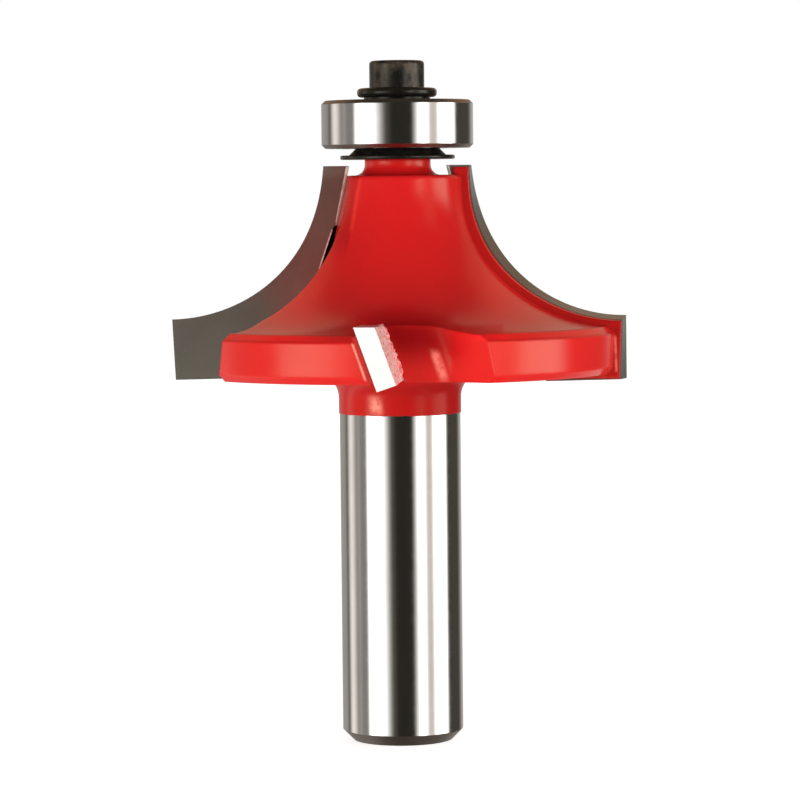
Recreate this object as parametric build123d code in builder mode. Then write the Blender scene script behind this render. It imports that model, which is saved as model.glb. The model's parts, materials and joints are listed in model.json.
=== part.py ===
"""Rounding-over router bit with four carbide cutters and a ball-bearing pilot.

Lengths are millimetres and angles are degrees, with +Z up. The origin is the centre of the shank's end
face and Z is the axis the bit turns about. Seen from the pilot end the bit cuts anticlockwise. The two
main blades lie at -X and +X, and the two shear tips lie close to -Y and +Y.
"""

import os
from math import acos, asin, cos, hypot, radians, sin, sqrt, tan

from build123d import *

# Shank, hub and neck
shank_diameter = 12.7
shank_length = 34.5
shank_chamfer = 1.15
hub_diameter = 12.86
hub_height = 4.1
hub_fillet = 2.45
neck_diameter = 6.9
neck_height = 1.65
neck_fillet_share = 0.33

# Cutting profile
cutting_diameter = 47.625
cove_radius = 15.875
edge_land_height = 6.5
blade_overhang = 0.6
cove_spans = 12

# Turned body behind the cutting profile
rim_clearance = 1.2
cove_clearance = 1.175
shoulder_drop = 1.015
shoulder_round_share = 0.135
rim_bottom_chamfer = 0.75
rim_top_chamfer_width = 0.8
rim_top_chamfer_height = 0.75
cove_lip_drop = 1.0

# Main blades
blade_thickness = 1.9
blade_hook_slope = 0.27
blade_shear_slope = 0.38
blade_relief_angle = 12.0
blade_top_share = 0.613
blade_shoulder_width = 2.6
blade_shoulder_drop = 6.2
blade_waist_width = 4.07
blade_waist_drop = 10.8
blade_foot_width = 8.6
blade_step_height = 0.2
blade_front_step = 0.2
blade_back_step = 0.9
blade_inner_draft = 0.13
blade_seat_gap = 0.2
blade_seat_bulge = 0.5
blade_proud = 0.25

# Steel wing behind each main blade
wing_inset = 0.03
wing_top_drop = 0.2
wing_foot_rise = 0.1
wing_thickness = 2.4
wing_step_share = 0.476
wing_root_margin = 0.15
wing_root_depth = 1.0

# Gullet in front of each main blade
gullet_wall_angle = 31.4
gullet_wall_offset = 1.3
rim_relief = 1.3
rim_relief_height = 1.1
gullet_floor_slope = 0.23
gullet_floor_lead = 0.9
facet_reach = 5.55
facet_foot_drop = 7.75
facet_bend_drop = 5.68
facet_bend_lead = 0.97
facet_top_lead = 1.55

# Shear tips
tip_thickness = 2.1
tip_depth = 5.8
tip_lean_angle = 19.5
tip_azimuth = 264.2
tip_rake_angle = 8.6
tip_relief_slope = 0.245
tip_top_drop = 0.1
tip_foot_drop = 5.75
tip_seat_gap = 0.12
tip_proud = 0.25
tip_rib_width = 0.6
tip_rib_inset = 0.5

# Pocket in front of each shear tip
pocket_depth = 5.75
pocket_floor_width = 5.3
pocket_ramp_angle = 30.7
pocket_corner_radius = 2.6

# Pilot bearing
bearing_bore = 6.35
bearing_outer_diameter = 15.875
bearing_width = 4.978
bearing_edge_chamfer = 0.38
ring_bore_chamfer = 0.2
inner_land_diameter = 9.5
outer_land_diameter = 12.7
ball_diameter = 2.381
ball_count = 8
raceway_conformity = 1.04
raceway_clearance = 0.02
cage_wall = 0.7
cage_height = 3.1
cage_pocket_clearance = 0.06
seal_thickness = 0.25
seal_inset = 0.15
seal_fit_clearance = 0.03
seal_lip_gap = 0.3

# Lower shield
shield_diameter = 12.0
shield_rim_thickness = 0.44
shield_rim_round = 0.16
shield_cone_base_diameter = 10.18
shield_cone_top_diameter = 8.7
shield_height = 1.17

# Pilot stub, collar and cap screw
stub_clearance = 0.01
stub_setback = 0.25
stub_chamfer = 0.25
shield_bore_clearance = 0.03
collar_diameter = 8.34
collar_rim_height = 0.95
collar_rim_round = 0.4
collar_foot_diameter = 6.94
collar_foot_height = 0.33
collar_recess_depth = 0.64
collar_recess_clearance = 0.05
collar_bore_clearance = 0.15
screw_head_diameter = 5.75
screw_head_height = 3.49
screw_head_round = 0.38
screw_thread_diameter = 3.505
screw_length = 9.5
screw_tip_chamfer = 0.35
screw_hex = 2.78
screw_hex_depth = 1.75
screw_hole_clearance = 0.03
screw_hole_spare = 1.2

# Derived heights and radii
cutting_radius = cutting_diameter / 2
flange_bottom = shank_length + hub_height
blade_bottom = flange_bottom - blade_overhang
cove_bottom = blade_bottom + edge_land_height
cove_centre = cove_bottom + cove_radius
blade_top = cove_centre
shoulder_height = cove_centre - shoulder_drop
body_cove_radius = cove_radius + cove_clearance
rim_radius = cutting_radius - rim_clearance
rim_top = cove_bottom - cove_lip_drop
neck_top = shoulder_height + neck_height
bearing_bottom = neck_top + shield_height
bearing_top = bearing_bottom + bearing_width
bearing_middle = bearing_bottom + bearing_width / 2
stub_radius = bearing_bore / 2 - stub_clearance
stub_top = bearing_top - stub_setback
collar_top = bearing_top + collar_foot_height + collar_rim_height
head_bottom = bearing_top + collar_foot_height + collar_rim_height - collar_recess_depth
screw_hole_radius = screw_thread_diameter / 2 + screw_hole_clearance
screw_hole_bottom = head_bottom - screw_length - screw_hole_spare
pitch_radius = (inner_land_diameter + outer_land_diameter) / 4
seal_outer_radius = outer_land_diameter / 2 + seal_thickness
shoulder_radius = cutting_radius - sqrt(body_cove_radius**2 - (cove_centre - shoulder_height) ** 2)
body_rim_inner = cutting_radius - sqrt(body_cove_radius**2 - (cove_centre - rim_top) ** 2)
neck_fillet = (shoulder_radius - neck_diameter / 2) * neck_fillet_share
shoulder_round = (shoulder_radius - neck_diameter / 2) * shoulder_round_share
top_room = cutting_radius - cove_radius - neck_diameter / 2
blade_top_width = top_room * blade_top_share
wing_step_distance = cutting_radius - cove_radius - top_room * wing_step_share
wing_root_distance = neck_diameter / 2 + wing_root_margin
cut_margin = 2.0
half_turns = (0, 180)
os.makedirs("parts", exist_ok=True)


def cove_distance(radius, height):
    """Distance from the turning axis of a cove arc of the given radius at a height."""
    return cutting_radius - sqrt(radius**2 - (cove_centre - height) ** 2)


def turning_plane(height):
    """Upright plane through the axis for a turned profile, with its origin at a height."""
    return Plane(origin=(0, 0, height), x_dir=(1, 0, 0), z_dir=(0, -1, 0))


# Planes of the left main blade
rake_normal = Vector(blade_hook_slope, -1, -blade_shear_slope).normalized()
rake_across = Vector(1, blade_hook_slope, 0).normalized()
rake_plane = Plane(origin=(-cutting_radius, 0, cove_bottom), x_dir=rake_across, z_dir=rake_normal)
gullet_plane = rake_plane.offset(-blade_proud)
blade_back_plane = rake_plane.offset(-blade_thickness)
wing_back_plane = rake_plane.offset(-wing_thickness)


def at_radius(plane, radius, height):
    """Point of a steep plane on the -X side at a distance from the turning axis and a height."""
    normal = plane.z_dir
    across = hypot(normal.X, normal.Y)
    level = (normal.dot(plane.origin) - normal.Z * height) / across
    reach = sqrt(radius**2 - level**2)
    x = (level * normal.X + reach * normal.Y) / across
    y = (level * normal.Y - reach * normal.X) / across
    return plane.to_local_coords(Vector(x, y, height))


def at_distance(plane, distance, height):
    """Point of a steep plane at a distance from the YZ plane on the -X side and a height."""
    normal = plane.z_dir
    y = (normal.dot(plane.origin) + normal.X * distance - normal.Z * height) / normal.Y
    return plane.to_local_coords(Vector(-distance, y, height))


def cutter_outline(plane, inset, top_drop, bottom, inner_corners):
    """Outline on a plane of the cutting profile moved in by inset and closed by the inner corners."""
    radius = cove_radius + inset
    first = asin(top_drop / radius)
    last = acos(inset / radius)
    angles = [first + (last - first) * step / cove_spans for step in range(cove_spans + 1)]
    cove = [
        at_radius(plane, cutting_radius - radius * cos(angle), cove_centre - radius * sin(angle))
        for angle in angles
    ]
    foot = at_radius(plane, cutting_radius - inset, bottom)
    inner = [at_distance(plane, distance, height) for distance, height in inner_corners]
    with BuildSketch(plane) as outline:
        with BuildLine():
            Spline(*cove)
            Polyline(cove[-1], foot, *inner, cove[0])
        make_face()
    return outline.sketch


def blade_corners(shift, step):
    """Inner corners of a main blade from its foot up, moved towards the axis and stepped outwards."""
    shoulder = blade_top - blade_shoulder_drop
    waist = blade_top - blade_waist_drop
    neck = cove_distance(cove_radius, shoulder) - blade_shoulder_width - shift
    return [
        (cutting_radius - blade_foot_width - shift, blade_bottom),
        (cove_distance(cove_radius, waist) - blade_waist_width - shift + step, waist),
        (neck + step, shoulder - blade_step_height),
        (neck, shoulder),
        (cove_distance(cove_radius, blade_top) - blade_top_width - shift, blade_top),
    ]


def seat_corners(plane, shift):
    """Corners of a main blade's seat on a plane, clear of the blade all round."""
    foot, waist, step, shoulder, top = blade_corners(shift + blade_seat_gap, 0)
    bulge = (shoulder[0] + blade_seat_bulge, (waist[1] + shoulder[1]) / 2)
    reach = cutting_radius + cut_margin
    outer = [(top[0], top[1] + cut_margin), (reach, top[1] + cut_margin), (reach, foot[1] - cut_margin)]
    inner = [(foot[0], foot[1] - cut_margin), foot, waist, bulge, shoulder, top]
    return [at_distance(plane, distance, height) for distance, height in outer + inner]


def gullet_root(height):
    """Distance from the YZ plane of the gullet's root, beside the main blade, at a height."""
    drop = (blade_top - height) * gullet_floor_slope
    return cove_distance(cove_radius, blade_top) - blade_top_width - blade_seat_gap + drop


def blade_side(distance, height):
    """Plan point of the gullet's blade side at a distance from the YZ plane and a height."""
    normal = gullet_plane.z_dir
    y = (normal.dot(gullet_plane.origin) + normal.X * distance - normal.Z * height) / normal.Y
    return (-distance, y)


def wall_side(distance, relief):
    """Plan point of the gullet's wall at a distance from the YZ plane, with the wall eased back."""
    turn = radians(gullet_wall_angle)
    return (-distance, -(gullet_wall_offset + relief + sin(turn) * distance) / cos(turn))


def gullet_corners(height, relief):
    """Plan corners of the gullet at a height: blade side from outside in, then the wall back out."""
    reach = cutting_diameter
    root = gullet_root(height)
    floor = root - gullet_floor_lead
    wall = [wall_side(floor, relief), wall_side(reach, relief)]
    return [blade_side(reach, height), blade_side(root, height)] + wall


def gullet_exit(height):
    """Distance from the YZ plane at which the gullet's wall leaves the turned body at a height."""
    turn = radians(gullet_wall_angle)
    radius = cove_distance(body_cove_radius, height)
    return radius * cos(turn + asin(gullet_wall_offset / radius))


def facet_corners(height, lead):
    """Plan corners of the facet that opens the gullet's root towards the shoulder at a height."""
    root = gullet_root(height)
    root_x, root_y = blade_side(root, height)
    far_x = root_x + lead * 2
    far_y = root_y - (root_y + facet_reach) * 2
    return [(root_x, root_y), (far_x, far_y), wall_side(cutting_diameter, 0)]


# One main blade: a carbide plate with its rake face on the rake plane and relieved flanks
blade_relief = blade_thickness * tan(radians(blade_relief_angle))
with BuildPart() as blade_form:
    add(cutter_outline(rake_plane, 0, 0, blade_bottom, blade_corners(0, blade_front_step)))
    back_corners = blade_corners(blade_inner_draft, blade_back_step)
    add(cutter_outline(blade_back_plane, blade_relief, 0, blade_bottom, back_corners))
    loft(ruled=True)

# What a main blade's seat takes out of the body
with BuildPart() as blade_seat:
    for plane, shift in ((blade_back_plane, blade_inner_draft), (rake_plane, 0)):
        with BuildSketch(plane):
            with BuildLine():
                Polyline(*seat_corners(plane, shift), close=True)
            make_face()
    loft(ruled=True)

# Steel wing that carries a main blade
wing_relief = wing_thickness * tan(radians(blade_relief_angle))
wing_foot = blade_bottom + wing_foot_rise
wing_corners = [
    (wing_root_distance, flange_bottom),
    (wing_root_distance, shoulder_height - wing_root_depth),
    (wing_step_distance, shoulder_height - wing_root_depth),
    (wing_step_distance, blade_top - wing_top_drop),
]
with BuildPart() as wing:
    add(cutter_outline(gullet_plane, wing_inset, wing_top_drop, wing_foot, wing_corners))
    add(cutter_outline(wing_back_plane, wing_inset + wing_relief, wing_top_drop, wing_foot, wing_corners))
    loft(ruled=True)

# Gullet in front of a main blade, with its wall eased back where it meets the top of the rim
gullet_levels = (
    (flange_bottom - cut_margin, 0),
    (rim_top, rim_relief),
    (rim_top + rim_relief_height, 0),
    (blade_top + cut_margin, 0),
)
with BuildPart() as gullet:
    for height, relief in gullet_levels:
        with BuildSketch(Plane.XY.offset(height)):
            with BuildLine():
                Polyline(*gullet_corners(height, relief), close=True)
            make_face()
    loft(ruled=True)

# Facet that opens the gullet's root towards the shoulder
facet_foot = blade_top - facet_foot_drop
facet_bend = blade_top - facet_bend_drop
foot_lead = gullet_root(facet_foot) - gullet_exit(facet_foot)
with BuildPart() as facet:
    for height, lead in ((facet_foot, foot_lead), (facet_bend, facet_bend_lead), (neck_top, facet_top_lead)):
        with BuildSketch(Plane.XY.offset(height)):
            with BuildLine():
                Polyline(*facet_corners(height, lead), close=True)
            make_face()
    loft(ruled=True)

# Shear tip, its seat and the pocket in front of it, all drawn in plan and run along the tip's lean
tip_lean = Vector(sin(radians(tip_lean_angle)), 0, -cos(radians(tip_lean_angle)))
tip_edge_x = cutting_radius * cos(radians(tip_azimuth))
tip_edge_y = cutting_radius * sin(radians(tip_azimuth))
tip_inward_x = tan(radians(tip_rake_angle))
tip_width = tip_thickness / cos(radians(tip_lean_angle))
tip_top = cove_bottom - tip_top_drop
lean_run = (tip_top - flange_bottom + 2 * cut_margin) / cos(radians(tip_lean_angle))
lean_plane = Plane((-tan(radians(tip_lean_angle)) * cut_margin, 0, tip_top + cut_margin))


def tip_plan(front, back, depth, overhang):
    """Plan corners of the tip or its seat between two distances behind the rake face."""
    front_inward = tip_relief_slope * front - overhang
    back_inward = tip_relief_slope * back - overhang
    corners = ((front, front_inward), (front, depth), (back, depth), (back, back_inward))
    return [
        (tip_edge_x - behind + tip_inward_x * inward, tip_edge_y + inward) for behind, inward in corners
    ]


with BuildPart() as tip_form:
    with BuildSketch(Plane.XY.offset(tip_top)):
        with BuildLine():
            Polyline(*tip_plan(0, tip_width, tip_depth, 0), close=True)
        make_face()
    extrude(amount=lean_run, dir=tip_lean)
    foot_plane = Plane(
        origin=(tip_edge_x, tip_edge_y, tip_top) + tip_lean * (tip_foot_drop / cos(radians(tip_lean_angle))),
        z_dir=-tip_lean,
    )
    split(bisect_by=foot_plane, keep=Keep.TOP)

with BuildPart() as tip_seat:
    with BuildSketch(lean_plane):
        with BuildLine():
            Polyline(*tip_plan(0, tip_width, tip_depth + tip_seat_gap, cut_margin), close=True)
        make_face()
    extrude(amount=lean_run, dir=tip_lean)

with BuildPart() as tip_rib:
    with BuildSketch(lean_plane):
        with BuildLine():
            Polyline(*tip_plan(0, tip_width + tip_rib_width, tip_depth, -tip_rib_inset), close=True)
        make_face()
    extrude(amount=lean_run, dir=tip_lean)
    split(bisect_by=Plane.XY.offset(flange_bottom), keep=Keep.TOP)
    split(bisect_by=Plane.XY.offset(rim_top), keep=Keep.BOTTOM)

ramp_run = (pocket_depth + cut_margin) / tan(radians(pocket_ramp_angle))
front_x = tip_edge_x - tip_proud
floor_x = front_x + tip_inward_x * pocket_depth
floor_y = tip_edge_y + pocket_depth
ramp_x = floor_x + pocket_floor_width
with BuildPart() as pocket:
    with BuildSketch(lean_plane):
        with BuildLine():
            Polyline(
                (front_x - tip_inward_x * cut_margin, tip_edge_y - cut_margin),
                (floor_x, floor_y),
                (ramp_x, floor_y),
                (ramp_x + ramp_run, tip_edge_y - cut_margin),
                close=True,
            )
        make_face()
        fillet(vertices().sort_by_distance((ramp_x, floor_y))[0], pocket_corner_radius)
    extrude(amount=lean_run, dir=tip_lean)

# The turned body with its wings, less the gullets, pockets and seats
with BuildPart() as cutter_body:
    with BuildSketch(Plane.XZ):
        with BuildLine():
            Polyline(
                (body_rim_inner, rim_top),
                (rim_radius - rim_top_chamfer_width, rim_top),
                (rim_radius, rim_top - rim_top_chamfer_height),
                (rim_radius, flange_bottom + rim_bottom_chamfer),
                (rim_radius - rim_bottom_chamfer, flange_bottom),
                (hub_diameter / 2, flange_bottom),
                (hub_diameter / 2, shank_length),
                (shank_diameter / 2, shank_length),
                (shank_diameter / 2, shank_chamfer),
                (shank_diameter / 2 - shank_chamfer, 0),
                (0, 0),
                (0, stub_top),
                (stub_radius - stub_chamfer, stub_top),
                (stub_radius, stub_top - stub_chamfer),
                (stub_radius, neck_top),
                (neck_diameter / 2, neck_top),
                (neck_diameter / 2, shoulder_height),
                (shoulder_radius, shoulder_height),
            )
            RadiusArc((shoulder_radius, shoulder_height), (body_rim_inner, rim_top), -body_cove_radius)
        make_face()
        fillet(vertices().sort_by_distance((hub_diameter / 2, flange_bottom))[0], hub_fillet)
        fillet(vertices().sort_by_distance((neck_diameter / 2, shoulder_height))[0], neck_fillet)
        fillet(vertices().sort_by_distance((shoulder_radius, shoulder_height))[0], shoulder_round)
    revolve(axis=Axis.Z)
    with PolarLocations(0, 2):
        add(wing.part)
        add(gullet.part, mode=Mode.SUBTRACT)
        add(facet.part, mode=Mode.SUBTRACT)
        add(blade_seat.part, mode=Mode.SUBTRACT)
        add(tip_rib.part)
        add(pocket.part, mode=Mode.SUBTRACT)
        add(tip_seat.part, mode=Mode.SUBTRACT)
    with Locations((0, 0, stub_top)):
        Hole(screw_hole_radius, depth=stub_top - screw_hole_bottom)
cutter_body.part.label = "cutter_body"
export_step(cutter_body.part, "parts/cutter_body.step")

for index, turn in enumerate(half_turns):
    main_blade = Rotation(0, 0, turn) * blade_form.part
    main_blade.label = f"main_blade_{index + 1}"
    export_step(main_blade, f"parts/{main_blade.label}.step")
    shear_tip = Rotation(0, 0, turn) * tip_form.part
    shear_tip.label = f"shear_tip_{index + 1}"
    export_step(shear_tip, f"parts/{shear_tip.label}.step")

# Lower shield: a turned cap that stands on the neck and carries the inner ring
shield_bore = stub_radius + shield_bore_clearance
with BuildPart() as lower_shield:
    with BuildSketch(turning_plane(neck_top)):
        with BuildLine():
            Polyline(
                (shield_bore, 0),
                (shield_diameter / 2, 0),
                (shield_diameter / 2, shield_rim_thickness),
                (shield_cone_base_diameter / 2, shield_rim_thickness),
                (shield_cone_top_diameter / 2, shield_height),
                (shield_bore, shield_height),
                close=True,
            )
        make_face()
        fillet(vertices().group_by(Axis.X)[-1], shield_rim_round)
    revolve(axis=Axis.Z)
lower_shield.part.label = "lower_shield"
export_step(lower_shield.part, "parts/lower_shield.step")

# Ball bearing: both rings, the cage with its balls and the two shields pressed into the outer ring
ball_radius = ball_diameter / 2
raceway_radius = ball_radius * raceway_conformity
inner_groove_centre = pitch_radius - ball_radius - raceway_clearance + raceway_radius
outer_groove_centre = pitch_radius + ball_radius + raceway_clearance - raceway_radius
half_width = bearing_width / 2
seal_low = half_width - seal_inset - seal_thickness

with BuildPart() as bearing_inner_ring:
    with BuildSketch(turning_plane(bearing_middle)):
        with Locations(((bearing_bore + inner_land_diameter) / 4, 0)):
            Rectangle((inner_land_diameter - bearing_bore) / 2, bearing_width)
        chamfer(vertices().group_by(Axis.X)[0], ring_bore_chamfer)
        with Locations((inner_groove_centre, 0)):
            Circle(raceway_radius, mode=Mode.SUBTRACT)
    revolve(axis=Axis.Z)
bearing_inner_ring.part.label = "bearing_inner_ring"
export_step(bearing_inner_ring.part, "parts/bearing_inner_ring.step")

with BuildPart() as bearing_outer_ring:
    with BuildSketch(turning_plane(bearing_middle)):
        with Locations(((bearing_outer_diameter + outer_land_diameter) / 4, 0)):
            Rectangle((bearing_outer_diameter - outer_land_diameter) / 2, bearing_width)
        chamfer(vertices().group_by(Axis.X)[-1], bearing_edge_chamfer)
        for side in (-1, 1):
            with Locations((seal_outer_radius / 2, side * (half_width + seal_low) / 2)):
                Rectangle(seal_outer_radius, half_width - seal_low, mode=Mode.SUBTRACT)
        with Locations((outer_groove_centre, 0)):
            Circle(raceway_radius, mode=Mode.SUBTRACT)
    revolve(axis=Axis.Z)
bearing_outer_ring.part.label = "bearing_outer_ring"
export_step(bearing_outer_ring.part, "parts/bearing_outer_ring.step")

seal_inner = inner_land_diameter / 2 + seal_lip_gap
seal_outer = seal_outer_radius - seal_fit_clearance
for name, level in (("bearing_shield_lower", -seal_low - seal_thickness), ("bearing_shield_upper", seal_low)):
    with BuildPart() as bearing_shield:
        with BuildSketch(Plane.XY.offset(bearing_middle + level)):
            Circle(seal_outer)
            Circle(seal_inner, mode=Mode.SUBTRACT)
        extrude(amount=seal_thickness)
    bearing_shield.part.label = name
    export_step(bearing_shield.part, f"parts/{name}.step")

with BuildPart() as ball_cage:
    with BuildSketch(Plane.XY.offset(bearing_middle)):
        Circle(pitch_radius + cage_wall / 2)
        Circle(pitch_radius - cage_wall / 2, mode=Mode.SUBTRACT)
    extrude(amount=cage_height / 2, both=True)
    pocket_radius = ball_radius + cage_pocket_clearance
    with Locations((0, 0, bearing_middle)):
        with PolarLocations(pitch_radius, ball_count):
            Cylinder(pocket_radius, 2 * cage_wall, rotation=(0, 90, 0), mode=Mode.SUBTRACT)
ball_cage.part.label = "ball_cage"
export_step(ball_cage.part, "parts/ball_cage.step")

for index, place in enumerate(PolarLocations(pitch_radius, ball_count).locations):
    with BuildPart() as ball:
        with Locations((place.position.X, place.position.Y, bearing_middle)):
            Sphere(ball_radius)
    ball.part.label = f"ball_{index + 1}"
    export_step(ball.part, f"parts/{ball.part.label}.step")

# Collar that clamps the inner ring, and the cap screw that holds it
collar_bore = screw_thread_diameter / 2 + collar_bore_clearance
collar_recess = screw_head_diameter / 2 + collar_recess_clearance
with BuildPart() as upper_collar:
    with BuildSketch(turning_plane(bearing_top)):
        with BuildLine():
            Polyline(
                (collar_bore, 0),
                (collar_foot_diameter / 2, 0),
                (collar_foot_diameter / 2, collar_foot_height),
                (collar_diameter / 2, collar_foot_height),
                (collar_diameter / 2, collar_foot_height + collar_rim_height),
                (collar_recess, collar_foot_height + collar_rim_height),
                (collar_recess, collar_foot_height + collar_rim_height - collar_recess_depth),
                (collar_bore, collar_foot_height + collar_rim_height - collar_recess_depth),
                close=True,
            )
        make_face()
        fillet(vertices().group_by(Axis.X)[-1], collar_rim_round)
    revolve(axis=Axis.Z)
upper_collar.part.label = "upper_collar"
export_step(upper_collar.part, "parts/upper_collar.step")

with BuildPart() as cap_screw:
    with Locations((0, 0, head_bottom)):
        Cylinder(screw_head_diameter / 2, screw_head_height, align=(Align.CENTER, Align.CENTER, Align.MIN))
        Cylinder(screw_thread_diameter / 2, screw_length, align=(Align.CENTER, Align.CENTER, Align.MAX))
    fillet(cap_screw.edges().filter_by(GeomType.CIRCLE).group_by(Axis.Z)[-1], screw_head_round)
    chamfer(cap_screw.edges().filter_by(GeomType.CIRCLE).group_by(Axis.Z)[0], screw_tip_chamfer)
    with BuildSketch(Plane.XY.offset(head_bottom + screw_head_height)):
        RegularPolygon(screw_hex / 2, 6, major_radius=False)
    extrude(amount=-screw_hex_depth, mode=Mode.SUBTRACT)
cap_screw.part.label = "cap_screw"
export_step(cap_screw.part, "parts/cap_screw.step")
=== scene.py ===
"""Studio scene of a rounding-over router bit: finishes, beads of braze, light, floor and camera.

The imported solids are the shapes. This script dresses them with procedural finishes, adds the beads of braze
that the solids leave out, and sets the bit on a pale floor in soft light.
"""

from __future__ import annotations

import json
import logging
import math
from collections.abc import Mapping
from dataclasses import dataclass, field
from enum import Enum
from typing import Union

import bmesh
import bpy
from mathutils import Matrix, Vector, noise

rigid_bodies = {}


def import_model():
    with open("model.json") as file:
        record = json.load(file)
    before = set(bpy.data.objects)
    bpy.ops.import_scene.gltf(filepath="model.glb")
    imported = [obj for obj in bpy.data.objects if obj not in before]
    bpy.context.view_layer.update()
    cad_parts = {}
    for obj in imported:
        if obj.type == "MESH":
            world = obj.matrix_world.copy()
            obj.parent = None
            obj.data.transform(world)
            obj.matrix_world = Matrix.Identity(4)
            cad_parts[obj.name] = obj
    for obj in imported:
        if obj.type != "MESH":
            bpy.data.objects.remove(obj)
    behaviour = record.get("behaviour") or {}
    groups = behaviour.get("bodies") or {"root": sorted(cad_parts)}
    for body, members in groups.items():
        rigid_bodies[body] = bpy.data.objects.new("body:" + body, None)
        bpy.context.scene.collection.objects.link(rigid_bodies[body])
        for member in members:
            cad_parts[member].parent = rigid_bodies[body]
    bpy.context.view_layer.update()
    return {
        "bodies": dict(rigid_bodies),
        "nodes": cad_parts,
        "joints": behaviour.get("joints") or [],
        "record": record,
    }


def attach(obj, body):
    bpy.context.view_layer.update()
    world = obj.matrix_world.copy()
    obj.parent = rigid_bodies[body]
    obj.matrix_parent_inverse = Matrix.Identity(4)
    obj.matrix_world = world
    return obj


Colour = tuple[float, float, float]
Triple = tuple[float, float, float]
Point = tuple[float, float]
Span = tuple[float, float]
# A value is an output socket to link, or else a number, a colour or a vector to set.
Value = Union[bpy.types.NodeSocket, float, Colour]

LOG = logging.getLogger("router_bit")
MILLIMETRE = 0.001
PER_METRE = 1000.0
RISE: Span = (0.0, 1.0)
FALL: Span = (1.0, 0.0)
BEVEL_SAMPLES = 6
# Places of the colour sockets among those of a Mix node, which has sockets for other kinds too.
MIX_COLOURS = (6, 7)
MIX_RESULT = 2
WHITE: Colour = (1.0, 1.0, 1.0)
WARM_WHITE: Colour = (1.0, 0.95, 0.90)
COPPER_GLOW: Colour = (1.0, 0.66, 0.45)
SILVER: Colour = (0.80, 0.785, 0.76)
# Pale colour of the painted highlight on carbide edges.
EDGE_HIGHLIGHT: Colour = (0.60, 0.47, 0.40)
GRAIN_SPARK: Colour = (1.0, 0.74, 0.68)


class Body(Enum):
    """The bodies of the bit that added pieces ride on."""

    CUTTER = "cutter"


class Source(Enum):
    """What finishes and the world read from a Texture Coordinate node."""

    PLACE = "Object"
    NORMAL = "Normal"
    DIRECTION = "Generated"


class Way(Enum):
    """A level direction at a point of the bit."""

    ROUND = "the way the bit turns"
    INWARD = "straight in to the turning axis"


class Measure(Enum):
    """A measure of a point on the head. Lengths are in millimetres, and the last two are cosines."""

    ACROSS = "to the right of the axis, as seen from the front"
    SIDE = "to either side of the axis"
    UP = "over the shank's end"
    RADIUS = "from the turning axis"
    OUT = "in front of the axis, or behind it"
    SCOOP_LINE = "to the right of a line that leans with the scooped pocket"
    CREASE_LINE = "to the right of the left facet's crease, which leans"
    SLOPE = "how squarely the face looks up"
    WING_TURN = "how squarely the face looks the way of a wing's back"


def scaled(colour: Colour, share: float) -> Colour:
    """Make a colour lighter or darker by a share."""
    red, green, blue = colour
    return red * share, green * share, blue * share


def around(middle: float, blur: float) -> Span:
    """Give the two limits of a soft edge from its middle and half its width."""
    return middle - blur, middle + blur


def even(scale: float) -> Triple:
    """Give the same scale along X, Y and Z."""
    return scale, scale, scale


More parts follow.
